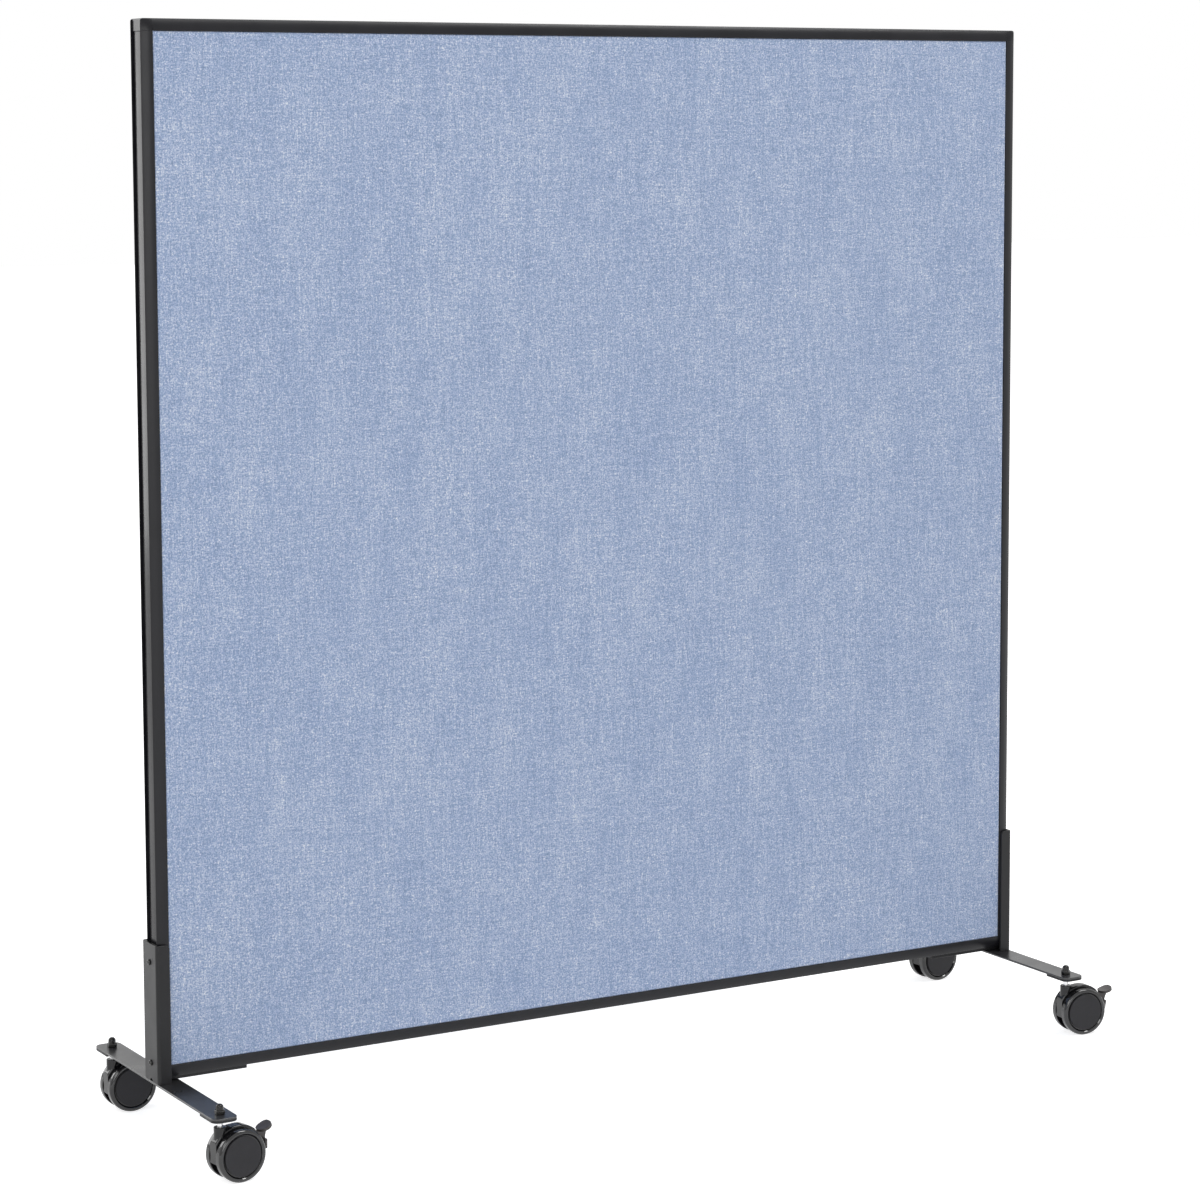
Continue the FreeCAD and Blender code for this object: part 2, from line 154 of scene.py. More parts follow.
def coat(name, dark, light, gloss, grit_size, grit_depth, patch=0.05, mirror=0.5, metal=0.0):
    finish, tree, shader = start_finish(name, dark, gloss[0])
    shader.inputs["Specular IOR Level"].default_value = mirror
    shader.inputs["Metallic"].default_value = metal
    fine = grain(tree, grit_size, detail=fine_detail)
    broad = grain(tree, patch, detail=broad_detail)
    tone = sums(tree, "ADD", sums(tree, "MULTIPLY", fine, fine_share),
                sums(tree, "MULTIPLY", broad, broad_share))
    colour = blend_colours(tree, spread(tree, tone, 0.0, 1.0), (*dark, 1.0), (*light, 1.0))
    tree.links.new(colour, shader.inputs["Base Color"])
    tree.links.new(spread(tree, broad, *gloss), shader.inputs["Roughness"])
    add_bump(tree, shader, fine, 1.0, grit_depth)
    return finish


# %% Coats of the frame and the feet
finishes = {
    "frame_charcoal": coat("satin_charcoal_frame", (0.005, 0.005, 0.007), (0.011, 0.011, 0.014),
                           gloss=(0.28, 0.38), grit_size=0.0012, grit_depth=0.00002, mirror=0.26),
    "corner_plastic": coat("moulded_corner", (0.006, 0.006, 0.008), (0.012, 0.012, 0.015),
                           gloss=(0.26, 0.36), grit_size=0.0008, grit_depth=0.00003, mirror=0.22),
    "strip_plastic": coat("end_strip", (0.018, 0.018, 0.020), (0.028, 0.028, 0.031),
                          gloss=(0.16, 0.22), grit_size=0.0015, grit_depth=0.00001, mirror=0.1),
    "foot_powder_coat": coat("powder_coat", (0.011, 0.011, 0.012), (0.022, 0.022, 0.024),
                             gloss=(0.34, 0.46), grit_size=0.0009, grit_depth=0.00003, mirror=0.25),
    "foot_bar_coat": coat("smooth_powder_coat", (0.012, 0.012, 0.013), (0.022, 0.022, 0.024),
                          gloss=(0.26, 0.36), grit_size=0.0009, grit_depth=0.00002, mirror=0.75),
}
print(len(finishes), "coats on frame and feet")

# %% Plastics and metals of the casters, and the boards inside
finishes.update({
    "caster_plastic": coat("glossy_caster_nylon", (0.003, 0.003, 0.004), (0.007, 0.007, 0.008),
                           gloss=(0.07, 0.14), grit_size=0.0020, grit_depth=0.00001, patch=0.02, mirror=0.4),
    "wheel_gloss": coat("polished_wheel", (0.004, 0.004, 0.005), (0.008, 0.008, 0.009),
                        gloss=(0.06, 0.11), grit_size=0.0020, grit_depth=0.00001, patch=0.02, mirror=0.65),
    "cap_plastic": coat("matte_wheel_cap", (0.024, 0.024, 0.026), (0.035, 0.034, 0.038),
                        gloss=(0.42, 0.54), grit_size=0.0005, grit_depth=0.00003, patch=0.02, mirror=0.2),
    "lever_plastic": coat("satin_brake_lever", (0.036, 0.031, 0.030), (0.052, 0.045, 0.043),
                          gloss=(0.30, 0.42), grit_size=0.0006, grit_depth=0.00002, patch=0.01),
    "nut_black": coat("blackened_steel", (0.007, 0.007, 0.007), (0.014, 0.013, 0.012),
                      gloss=(0.06, 0.12), grit_size=0.0006, grit_depth=0.00001, patch=0.004, mirror=0.35),
    "bright_steel": coat("plated_steel", (0.62, 0.62, 0.63), (0.74, 0.74, 0.74),
                         gloss=(0.22, 0.36), grit_size=0.0007, grit_depth=0.00001, patch=0.006, metal=1.0),
    "soft_board": coat("soft_fibreboard", (0.30, 0.22, 0.14), (0.42, 0.32, 0.21),
                       gloss=(0.80, 0.95), grit_size=0.0020, grit_depth=0.0003),
    "honeycomb_core": coat("paper_core", (0.36, 0.27, 0.17), (0.46, 0.36, 0.24),
                           gloss=(0.85, 0.95), grit_size=0.0030, grit_depth=0.0004),
})
print(len(finishes), "coats and plastics in all")

# %% [markdown]
# ## The panel cloth
# Panel cloth is a plain weave of heathered yarn: each yarn changes tone along its length, so the face
# shows short pale and dark streaks, both upright and level. A picture of cloth could be tiled, but
# it would repeat. Here the weave is counted out instead: the yarn that lies on top at a crossing
# gives the colour, and its round back gives the bump.

# %% Count and colour the yarns
yarn_pitch = 0.0012
cloth_dark = (0.200, 0.268, 0.433)
cloth_middle = (0.355, 0.456, 0.680)
fleck_white = (1.0, 1.0, 1.0)
dark_stop, middle_stop, white_stop = 0.34, 0.50, 0.66


def yarn_back(tree, across):
    """Height of a round yarn, from its place across the cloth."""
    part = sums(tree, "FRACT", sums(tree, "DIVIDE", across, yarn_pitch))
    off_middle = sums(tree, "SUBTRACT", sums(tree, "MULTIPLY", part, 2.0), 1.0)
    return sums(tree, "SUBTRACT", 1.0, sums(tree, "MULTIPLY", off_middle, off_middle))


def yarn_count(tree, across):
    return sums(tree, "FLOOR", sums(tree, "DIVIDE", across, yarn_pitch))


def heather(tree, tone, lean):
    """Dark and middle cloth colours along the tone, leaning to one hue, and then white flecks."""
    ramp = add_node(tree, "ShaderNodeValToRGB", {"Fac": tone})
    stops = ramp.color_ramp.elements
    stops[0].position, stops[1].position = dark_stop, white_stop
    stops.new(middle_stop)
    for stop, colour in zip(stops, (cloth_dark, cloth_middle)):
        stop.color = (*[part * share for part, share in zip(colour, lean)], 1.0)
    stops[2].color = (*fleck_white, 1.0)
    return ramp.outputs["Color"]


print("cloth of", round(0.01 / yarn_pitch, 1), "yarns to the centimetre")

# %% Weave the cloth from two sets of yarn
streak_length = 0.007
slub_width, slub_length = 0.0022, 0.045
fleck_size = 0.0023
cloud_size, cloud_stretch = 0.045, 3.0
weave_share, upright_slub_share, level_slub_share, fleck_share, cloud_share = 0.35, 0.10, 0.07, 0.42, 0.06
violet_lean = (1.012, 0.994, 1.002)
green_lean = (0.988, 1.006, 0.998)
lean_size = 0.004
cloth_roughness, cloth_mirror = 0.92, 0.1
sheen_weight, sheen_roughness = 0.03, 0.5
weave_strength, weave_depth = 0.7, 0.0003


def panel_cloth():
    finish, tree, shader = start_finish("heathered_panel_cloth", cloth_middle, cloth_roughness)
    shader.inputs["Sheen Weight"].default_value = sheen_weight
    shader.inputs["Sheen Roughness"].default_value = sheen_roughness
    shader.inputs["Specular IOR Level"].default_value = cloth_mirror
    split = add_node(tree, "ShaderNodeSeparateXYZ", {0: places(tree)})
    level, upright = split.outputs["X"], split.outputs["Z"]
    crossing = sums(tree, "ADD", yarn_count(tree, level), yarn_count(tree, upright))
    warp_on_top = sums(tree, "PINGPONG", crossing, 1.0)
    streak, slub = streak_length / yarn_pitch, slub_length / slub_width
    warp_tone = grain(tree, yarn_pitch, (1.0, 1.0, streak), 3.0)
    weft_tone = grain(tree, yarn_pitch, (streak, 1.0, 1.0), 3.0)
    weave = blend_values(tree, warp_on_top, weft_tone, warp_tone)
    upright_slub = grain(tree, slub_width, (1.0, 1.0, slub))
    level_slub = grain(tree, slub_width, (slub, 1.0, 1.0))
    fleck = grain(tree, fleck_size)
    tone = sums(tree, "MULTIPLY", grain(tree, cloud_size, (1.0, 1.0, cloud_stretch), 4.0), cloud_share)
    for layer, share in ((weave, weave_share), (upright_slub, upright_slub_share),
                         (level_slub, level_slub_share), (fleck, fleck_share)):
        tone = sums(tree, "ADD", tone, sums(tree, "MULTIPLY", layer, share))
    lean = spread(tree, grain(tree, lean_size, detail=3.0), 0.0, 1.0)
    colour = blend_colours(tree, lean, heather(tree, tone, violet_lean), heather(tree, tone, green_lean))
    tree.links.new(colour, shader.inputs["Base Color"])
    height = blend_values(tree, warp_on_top, yarn_back(tree, upright), yarn_back(tree, level))
    height = sums(tree, "ADD", height, sums(tree, "ADD", upright_slub, level_slub))
    add_bump(tree, shader, height, weave_strength, weave_depth)
    return finish


finishes["blue_fabric"] = panel_cloth()
print("cloth made of", len(finishes["blue_fabric"].node_tree.nodes), "nodes")

# %% [markdown]
# ## From mesh to piece
# A mesh becomes a piece when it has clean normals, smooth shading up to the sharp edges, a finish,
# and a body to ride on. The Bevel modifier rounds the edges that are left sharp, as no real edge
# is a razor, and the Weighted Normal modifier keeps the flat faces flat beside those small rounds.

# %% Turn a bmesh into a piece that stands for its solid
weld_distance = 1e-6
sharp_angle = math.radians(42.0)
edge_segments = 2


def finish_mesh(bm, name):
    bmesh.ops.remove_doubles(bm, verts=bm.verts, dist=weld_distance)
    bmesh.ops.recalc_face_normals(bm, faces=bm.faces)
    mesh = bpy.data.meshes.new(name)
    bm.to_mesh(mesh)
    bm.free()
    mesh.polygons.foreach_set("use_smooth", [True] * len(mesh.polygons))
    mesh.set_sharp_from_angle(angle=sharp_angle)
    return mesh


def make_piece(name, bm, node, edge_round=0.0, finish=None):
    piece = bpy.data.objects.new(name, finish_mesh(bm, name))
    bpy.context.scene.collection.objects.link(piece)
    piece.data.materials.append(finish or finishes[slot_of[node]])
    if edge_round:
        edges = piece.modifiers.new("small_rounds", "BEVEL")
        edges.width, edges.segments, edges.limit_method = edge_round, edge_segments, "ANGLE"
        edges.angle_limit, edges.use_clamp_overlap = sharp_angle, True
    flats = piece.modifiers.new("flat_faces", "WEIGHTED_NORMAL")
    flats.keep_sharp = True
    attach(piece, body_of[node])
    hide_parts(node)
    print(name, len(piece.data.polygons), "faces on", body_of[node])
    return piece


# %% [markdown]
# ## Sections
# Frame bars, strips and sheet brackets all have one section along their whole length. So draw the
# section once, from a few corner points, round each corner by its own amount with a vertex bevel,
# and then extrude the face. This is how the bars are made too, pushed through a shaped die.

# %% Draw a section and extrude it
round_segments = 6


def rounded_face(bm, points, place):
    """Face from corner points, each given as two lengths and the round of that corner."""
    verts = [bm.verts.new(place(first, second)) for first, second, edge_round in points]
    bm.faces.new(verts)
    for vert, (first, second, edge_round) in zip(verts, points):
        if edge_round:
            bmesh.ops.bevel(bm, geom=[vert], offset=edge_round, offset_type="OFFSET",
                            segments=round_segments, profile=0.5, affect="VERTICES", material=-1)


def new_verts(made):
    return [item for item in made["geom"] if isinstance(item, bmesh.types.BMVert)]


def extruded(bm, run):
    made = bmesh.ops.extrude_face_region(bm, geom=bm.faces[:])
    bmesh.ops.translate(bm, verts=new_verts(made), vec=run)
    return bm


def pushed_out(points, place, run):
    bm = bmesh.new()
    rounded_face(bm, points, place)
    return extruded(bm, run)


def mirrored(bm, axis):
    factor = [-1.0 if step == axis else 1.0 for step in range(3)]
    bmesh.ops.scale(bm, vec=factor, verts=bm.verts)
    bmesh.ops.reverse_faces(bm, faces=bm.faces)
    return bm


# %% [markdown]
# ## Posts
# A post is an extruded bar whose front and rear faces bow softly towards the panel's end, each along a
# flat arch, so that the light fades across them. An arch is drawn as a few points on a circle. A shallow
# channel runs down the end of the bar, and it shows as two dark grooves, one each side of the strip
# that fills it.

# %% Posts at both ends
cloth_low, cloth_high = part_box("front_fabric")
post_low, post_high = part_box("right_post")
strip_low, strip_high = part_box("right_filler_strip")
arch_run, arch_drop, arch_steps = 0.016, 0.0045, 8
lip_round = 0.0009
groove_width = 0.003
bar_edge = 0.0003


def arched_face(inside, outside, half):
    """Front face of a bar, from its inner edge along a flat arch to its outer side."""
    points = [(inside, -half, lip_round)]
    whole_turn = 2.0 * math.atan2(arch_drop, arch_run)
    radius = arch_run / math.sin(whole_turn)
    for step in range(arch_steps + 1):
        turn = whole_turn * step / arch_steps
        points.append((outside - arch_run + radius * math.sin(turn),
                       radius * (1.0 - math.cos(turn)) - half, 0.0))
    return points


def both_faces(front):
    return front + [(across, -along, edge_round) for across, along, edge_round in reversed(front)]


def post_section():
    groove, floor = strip_high.y + groove_width, strip_low.x
    front = arched_face(cloth_high.x, post_high.x, post_high.y)
    return both_faces(front + [(post_high.x, -groove, 0.0), (floor, -groove, 0.0)])


def level_place(height):
    return lambda across, along: Vector((across, along, height))


def post():
    return pushed_out(post_section(), level_place(post_low.z), Vector((0, 0, post_high.z - post_low.z)))


make_piece("right_post_bar", post(), "right_post", bar_edge)
make_piece("left_post_bar", mirrored(post(), 0), "left_post", bar_edge)

# %% [markdown]
# ## Filler strips
# The strip snaps into the channel and closes it. Its face lies a little below the lips, so that seen
# from the front the far wall of the channel shows as a dark band beside it. The face is faintly crowned
# to catch the light in one long line, and a narrow web behind it sits on the channel's floor.

# %% Crowned strips
strip_web_half = 0.006
strip_face_depth = 0.002
strip_sink, strip_crown, crown_cuts = 0.0025, 0.0004, 9
strip_edge = 0.0008


def strip():
    half, face = strip_high.y, strip_high.x - strip_sink
    back, rim, crown_floor = face - strip_face_depth, face - strip_crown, face - 2 * strip_crown
    points = [(strip_low.x, -strip_web_half, 0.0), (back, -strip_web_half, 0.0), (back, -half, 0.0),
              (rim, -half, 0.0), (rim, half, 0.0), (back, half, 0.0), (back, strip_web_half, 0.0),
              (strip_low.x, strip_web_half, 0.0)]
    bm = pushed_out(points, level_place(strip_low.z), Vector((0, 0, strip_high.z - strip_low.z)))
    outer = [edge for edge in bm.edges if all(vert.co.x > crown_floor for vert in edge.verts)
             and abs(edge.verts[0].co.y - edge.verts[1].co.y) > half]
    bmesh.ops.subdivide_edges(bm, edges=outer, cuts=crown_cuts)
    for vert in bm.verts:
        if vert.co.x > crown_floor:
            vert.co.x += strip_crown * (1.0 - (vert.co.y / half) ** 2)
    return bm


make_piece("right_end_strip", strip(), "right_filler_strip", strip_edge)
make_piece("left_end_strip", mirrored(strip(), 0), "left_filler_strip", strip_edge)

# %% [markdown]
# ## Rails
# The top and bottom rails are the same bar with the same arched faces, but with no channel. The
# bottom rail is the top rail turned upside down, so one function serves both.

# %% Top and bottom rails
rail_low, rail_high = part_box("top_rail")


def rail(start, end):
    section = both_faces(arched_face(cloth_high.z, rail_high.z, rail_high.y))
    return pushed_out(section, lambda up, along: Vector((start, along, up)), Vector((end - start, 0, 0)))


def upside_down(bm):
    middle = (cloth_low.z + cloth_high.z) / 2
    turn = Matrix.Rotation(math.pi, 4, "X")
    bmesh.ops.rotate(bm, cent=Vector((0, 0, middle)), matrix=turn, verts=bm.verts)
    return bm


make_piece("top_rail_bar", rail(rail_low.x, rail_high.x), "top_rail", bar_edge)
make_piece("bottom_rail_bar", upside_down(rail(rail_low.x, rail_high.x)), "bottom_rail", bar_edge)

# %% [markdown]
# ## Corner blocks
# Moulded blocks plug into the bar ends, so a fine joint line shows where block and bar meet. A block has
# the face of both bars, so it is what a short upright bar and a short level bar have in common. The
# channel of the post runs on over the block, as deep as the strip is sunk. Boolean does both jobs.

# %% Blocks, rounds and cuts
def block(low, high):
    bm = bmesh.new()
    size = high - low
    place = Matrix.Translation((low + high) / 2) @ Matrix.Diagonal((*size, 1.0))
    bmesh.ops.create_cube(bm, size=1.0, matrix=place)
    return bm


def edges_with(bm, test):
    return [edge for edge in bm.edges if test(*[vert.co for vert in edge.verts])]


def rounded(bm, edges, radius, segments=round_segments):
    bmesh.ops.bevel(bm, geom=edges, offset=radius, offset_type="OFFSET", segments=segments,
                    profile=0.5, affect="EDGES", material=-1)
    return bm


def as_objects(parts):
    objects = []
    for part in parts:
        mesh = bpy.data.meshes.new("joining")
        bmesh.ops.recalc_face_normals(part, faces=part.faces)
        part.to_mesh(mesh)
        part.free()
        objects.append(bpy.data.objects.new("joining", mesh))
        bpy.context.scene.collection.objects.link(objects[-1])
    return objects


def combined(first, second, operation):
    """Union, difference or common part of two closed meshes."""
    work, tool = as_objects([first, second])
    step = work.modifiers.new("boolean", "BOOLEAN")
    step.operation, step.object, step.solver = operation, tool, "EXACT"
    bpy.context.view_layer.update()
    result = bmesh.new()
    result.from_object(work, bpy.context.evaluated_depsgraph_get())
    for item in (work, tool):
        mesh = item.data
        bpy.data.objects.remove(item)
        bpy.data.meshes.remove(mesh)
    return result


# %% Corner blocks
block_round = 0.0045
overrun = 0.003


def corner_channel():
    edge = strip_high.y + groove_width
    low = Vector((post_high.x - strip_sink, -edge, cloth_high.z - overrun))
    return block(low, Vector((post_high.x + overrun, edge, rail_high.z + overrun)))


def corner_block():
    inside, outside = Vector((cloth_high.x, 0, cloth_high.z)), Vector((post_high.x, 0, rail_high.z))
    upright = pushed_out(both_faces(arched_face(inside.x, outside.x, rail_high.y)), level_place(inside.z),
                         Vector((0, 0, outside.z - inside.z)))
    bm = combined(upright, rail(inside.x, outside.x), "INTERSECT")
    outline = [(inside.x, inside.z, 0.0), (outside.x, inside.z, 0.0), (outside.x, outside.z, block_round),
               (inside.x, outside.z, 0.0)]
    through = pushed_out(outline, lambda across, up: Vector((across, -rail_high.y, up)),
                         Vector((0, 2 * rail_high.y, 0)))
    bm = combined(bm, through, "INTERSECT")
    return combined(bm, corner_channel(), "DIFFERENCE")


make_piece("top_right_block", corner_block(), "top_right_corner", bar_edge)
make_piece("top_left_block", mirrored(corner_block(), 0), "top_left_corner", bar_edge)
make_piece("bottom_right_block", upside_down(corner_block()), "bottom_right_corner", bar_edge)
make_piece("bottom_left_block", mirrored(upside_down(corner_block()), 0), "bottom_left_corner", bar_edge)

# %% [markdown]
# ## Covered faces
# The cloth is stretched over a soft board and wrapped round its edges. A flat slab would look dead,
# so the sheet is a fine grid that turns back at its rounded rim and lies in faint waves, as cloth
# over soft board does. Solidify then gives the sheet its thickness, towards the board.

# %% Find the rim of the cloth
cloth_round, cloth_round_segments = 0.0022, 4
close_by = 0.0009


def on_rim(point):
    reach = cloth_round * 2
    return (abs(point.x) > cloth_high.x - reach or point.z > cloth_high.z - reach
            or point.z < cloth_low.z + reach)


def shares_side(one, two):
    side = cloth_high.x - close_by
    top, bottom = cloth_high.z - close_by, cloth_low.z + close_by
    return ((abs(one.x) > side and abs(two.x) > side) or (one.z > top and two.z > top)
            or (one.z < bottom and two.z < bottom))


# %% Stretch the cloth over both boards
cloth_thickness = 0.0009
wave_depth, wave_length = 0.00025, 0.19
cloth_cells = 90


def cloth_face():
    bm = bmesh.new()
    width, height = cloth_high.x - cloth_low.x, cloth_high.z - cloth_low.z
    place = (Matrix.Translation((0, cloth_low.y, (cloth_low.z + cloth_high.z) / 2))
             @ Matrix.Rotation(math.pi / 2, 4, "X") @ Matrix.Diagonal((width / 2, height / 2, 1.0, 1.0)))
    bmesh.ops.create_grid(bm, x_segments=cloth_cells, y_segments=cloth_cells, size=1.0, matrix=place)
    made = bmesh.ops.extrude_edge_only(bm, edges=[edge for edge in bm.edges if edge.is_boundary])
    bmesh.ops.translate(bm, verts=new_verts(made), vec=Vector((0, cloth_high.y - cloth_low.y, 0)))
    front = cloth_low.y + wave_depth
    rim = edges_with(bm, lambda one, two: max(one.y, two.y) < front and on_rim(one) and on_rim(two)
                     and shares_side(one, two))
    rounded(bm, rim, cloth_round, cloth_round_segments)
    for vert in bm.verts:
        if vert.co.y < front and not on_rim(vert.co):
            vert.co.y += wave_depth * (1.0 + noise.noise(vert.co / wave_length))
    return bm


def cover(name, bm, node):
    piece = make_piece(name, bm, node)
    thick = piece.modifiers.new("cloth_thickness", "SOLIDIFY")
    thick.thickness, thick.offset = cloth_thickness, -1.0


cover("front_cloth", cloth_face(), "front_fabric")
cover("rear_cloth", mirrored(cloth_face(), 1), "rear_fabric")

# %% [markdown]
# ## Upright brackets
# Each bracket is sheet steel folded into a U round the end of the panel. Its section is drawn with
# the inside and outside of both bends, extruded upwards, and the free top corners of the flanges
# are rounded off. A small round notch is cut at the foot of the end plate.

# %% Folded brackets
bracket_low, bracket_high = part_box("right_upright_bracket")
bracket_sheet = bracket_high.x - post_high.x
bend_round, flange_round = 0.0055, 0.006
notch_radius = 0.0045
bracket_edge = 0.0005
bar_segments = 48


def round_bar(radius, low, high):
    """Round bar between two points."""
    bm = bmesh.new()
    line = high - low
    place = Matrix.Translation((low + high) / 2) @ line.to_track_quat("Z", "Y").to_matrix().to_4x4()
    bmesh.ops.create_cone(bm, cap_ends=True, segments=bar_segments, radius1=radius, radius2=radius,
                          depth=line.length, matrix=place)
    return bm


def bracket():
    start, outside, half = bracket_low.x, bracket_high.x, bracket_high.y
    inner, inner_half = outside - bracket_sheet, half - bracket_sheet
    inner_round = bend_round - bracket_sheet
    points = [(start, -half, 0.0), (outside, -half, bend_round), (outside, half, bend_round),
              (start, half, 0.0), (start, inner_half, 0.0), (inner, inner_half, inner_round),
              (inner, -inner_half, inner_round), (start, -inner_half, 0.0)]
    bm = pushed_out(points, level_place(bracket_low.z), Vector((0, 0, bracket_high.z - bracket_low.z)))
    tips = edges_with(bm, lambda one, two: max(one.x, two.x) < start + close_by
                      and min(one.z, two.z) > bracket_high.z - close_by)
    rounded(bm, tips, flange_round)
    low = Vector((inner - bracket_sheet, 0, bracket_low.z))
    high = Vector((outside + bracket_sheet, 0, bracket_low.z))
    return combined(bm, round_bar(notch_radius, low, high), "DIFFERENCE")


make_piece("right_bracket", bracket(), "right_upright_bracket", bracket_edge)
make_piece("left_bracket", mirrored(bracket(), 0), "left_upright_bracket", bracket_edge)

# %% [markdown]
# ## Foot bars, pads and tongues
# The feet are flat steel bars with rounded ends. Short pads under the ends thicken them where the
# caster stems pass through, and a tongue on each bar runs in under the bottom rail to carry it. They
# are plain blocks whose upright corner edges are bevelled. The bars are smoother than the rest.

# %% Flat bars with rounded ends
foot_round, foot_segments = 0.011, 8
foot_edge, tongue_edge = 0.0007, 0.0008


def flat_bar(node, ends):
    """Bar in its solid's box, with rounded corners at the front (-1) end, the rear (1) end or both."""
    low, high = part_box(node)
    bm = block(low, high)
    reach = {-1: low.y, 1: high.y}
    upright = edges_with(bm, lambda one, two: abs(one.z - two.z) > (high.z - low.z) / 2
                         and any(abs(one.y - reach[end]) < close_by for end in ends))
    return rounded(bm, upright, foot_round, foot_segments)


for side in ("left", "right"):
    for name, node, ends, skin in (("_foot", "_foot_bar", (-1, 1), "foot_bar_coat"),
                                   ("_front_plate", "_front_pad", (-1,), "foot_powder_coat"),
                                   ("_rear_plate", "_rear_pad", (1,), "foot_powder_coat")):
        make_piece(side + name, flat_bar(side + node, ends), side + node, foot_edge, finishes[skin])
    tongue = block(*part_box(side + "_support_tongue"))
    make_piece(side + "_tongue", tongue, side + "_support_tongue", tongue_edge)

# %% [markdown]
# ## Turned parts
# Wheels, caps, stems, nut domes and screw heads are all turned on a lathe or moulded round an axis.
# Each one is half a section, drawn as a rounded face, whose outline is spun a full turn.

# %% Spin a section
def spun(points, steps):
    """Section of radius and height points, spun round the upright axis."""
    bm = bmesh.new()
    rounded_face(bm, points, lambda radius, height: Vector((radius, 0, height)))
    bmesh.ops.delete(bm, geom=bm.faces[:], context="FACES_ONLY")
    bmesh.ops.spin(bm, geom=bm.verts[:] + bm.edges[:], cent=Vector(), axis=Vector((0, 0, 1)),
                   angle=2 * math.pi, steps=steps, use_merge=True, use_duplicate=False)
    bmesh.ops.remove_doubles(bm, verts=bm.verts, dist=weld_distance)
    on_axis = edges_with(bm, lambda one, two: max(one.xy.length, two.xy.length) < weld_distance)
    bmesh.ops.delete(bm, geom=on_axis, context="EDGES")
    bmesh.ops.recalc_face_normals(bm, faces=bm.faces)
    return bm


def joined(parts):
    """One bmesh that holds several, each moved by its own matrix."""
    whole = bmesh.new()
    for part, place in parts:
        mesh = bpy.data.meshes.new("joining")
        part.to_mesh(mesh)
        mesh.transform(place)
        whole.from_mesh(mesh)
        bpy.data.meshes.remove(mesh)
    return whole


# %% [markdown]
# ## Screws, stems and nuts
# Two round-headed screws hold each bracket. A stem rises from each caster through pad and bar, and
# a domed nut closes it on top. Four of each share one piece, because they are the same part.

# %% Cross-recessed screws
screw_low, screw_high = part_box("bracket_screws")
head_radius = screw_high.y
head_height = screw_high.x - bracket_high.x
head_rim_round, head_dome_share = 0.0003, 0.7
screw_radius = 0.0024
recess_width, recess_depth, recess_share = 0.0012, 0.0014, 0.6
screw_turn = 0.5
small_steps = 40


def screw_head():
    head = spun([(0.0, -bracket_sheet, 0.0), (screw_radius, -bracket_sheet, 0.0), (screw_radius, 0.0, 0.0),
                 (head_radius, 0.0, head_rim_round),
                 (head_radius, head_height, head_height * head_dome_share),
                 (0.0, head_height, 0.0)], small_steps)
    for turn in (0.0, math.pi / 2):
        half = Vector((head_radius * recess_share, recess_width / 2, recess_depth))
        slot = block(-half, half)
        place = Matrix.Translation((0, 0, head_height)) @ Matrix.Rotation(turn, 4, "Z")
        bmesh.ops.transform(slot, matrix=place, verts=slot.verts)
        head = combined(head, slot, "DIFFERENCE")
    return head


def screw_places():
    """Places on both brackets, each screw left at another angle."""
    outward = Matrix.Rotation(math.pi / 2, 4, "Y")
    for side in (1, -1):
        for height in (screw_low.z + head_radius, screw_high.z - head_radius):
            spot = Matrix.Translation((side * bracket_high.x, 0, height))
            facing = outward if side > 0 else outward.inverted()
            yield spot @ facing @ Matrix.Rotation(screw_turn * side + height, 4, "Z")


make_piece("round_head_screws", joined([(screw_head(), place) for place in screw_places()]),
           "bracket_screws", finish=finishes["nut_black"])

# %% Stems with a collar
caster_corners = ("front_left", "front_right", "rear_left", "rear_right")
stem_places = {corner: Vector(joint_of[corner + "_swivel"]["pos_m"]) for corner in caster_corners}
stem_low, stem_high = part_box("caster_stems")
pad_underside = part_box("left_front_pad")[0].z
stem_radius, stem_round = 0.004, 0.0008
collar_radius, collar_height = 0.007, 0.003
collar_low_round, collar_high_round = 0.0006, 0.0004


def stem():
    collar_low = pad_underside - collar_height
    return spun([(0.0, stem_low.z, 0.0), (stem_radius, stem_low.z, stem_round),
                 (stem_radius, collar_low, 0.0), (collar_radius, collar_low, collar_low_round),
                 (collar_radius, pad_underside, collar_high_round), (stem_radius, pad_underside, 0.0),
                 (stem_radius, stem_high.z, 0.0), (0.0, stem_high.z, 0.0)], small_steps)


def on_stems(maker):
    return joined([(maker(), Matrix.Translation((spot.x, spot.y, 0))) for spot in stem_places.values()])


make_piece("stems", on_stems(stem), "caster_stems")

# %% Domed nuts
nut_low, nut_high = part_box("stem_nuts")
nut_flats, nut_sides = 0.013, 6
hex_height = 0.0065
dome_radius, nut_dome_share = 0.0056, 0.86
nut_chamfer, chamfer_segments = 0.0009, 2
nut_edge = 0.0003


def domed_nut():
    bm = bmesh.new()
    corner_radius = nut_flats / math.sqrt(3)
    hex_middle = nut_low.z + hex_height / 2
    bmesh.ops.create_cone(bm, cap_ends=True, segments=nut_sides, radius1=corner_radius,
                          radius2=corner_radius, depth=hex_height,
                          matrix=Matrix.Translation((0, 0, hex_middle)))
    level_edges = edges_with(bm, lambda one, two: abs(one.z - two.z) < close_by)
    rounded(bm, level_edges, nut_chamfer, chamfer_segments)
    dome = spun([(0.0, hex_middle, 0.0), (dome_radius, hex_middle, 0.0),
                 (dome_radius, nut_high.z, dome_radius * nut_dome_share),
                 (0.0, nut_high.z, 0.0)], small_steps)
    return joined([(bm, Matrix.Identity(4)), (dome, Matrix.Identity(4))])


make_piece("domed_nuts", on_stems(domed_nut), "stem_nuts", nut_edge)

# %% [markdown]
# ## Casters
# A twin-wheel caster is a narrow body between two wheels on one axle. Model one caster with its axle
# at the origin, running along Y, and then place a copy at every corner: the wheel joint says where
# the axle is and which way the caster was left standing.

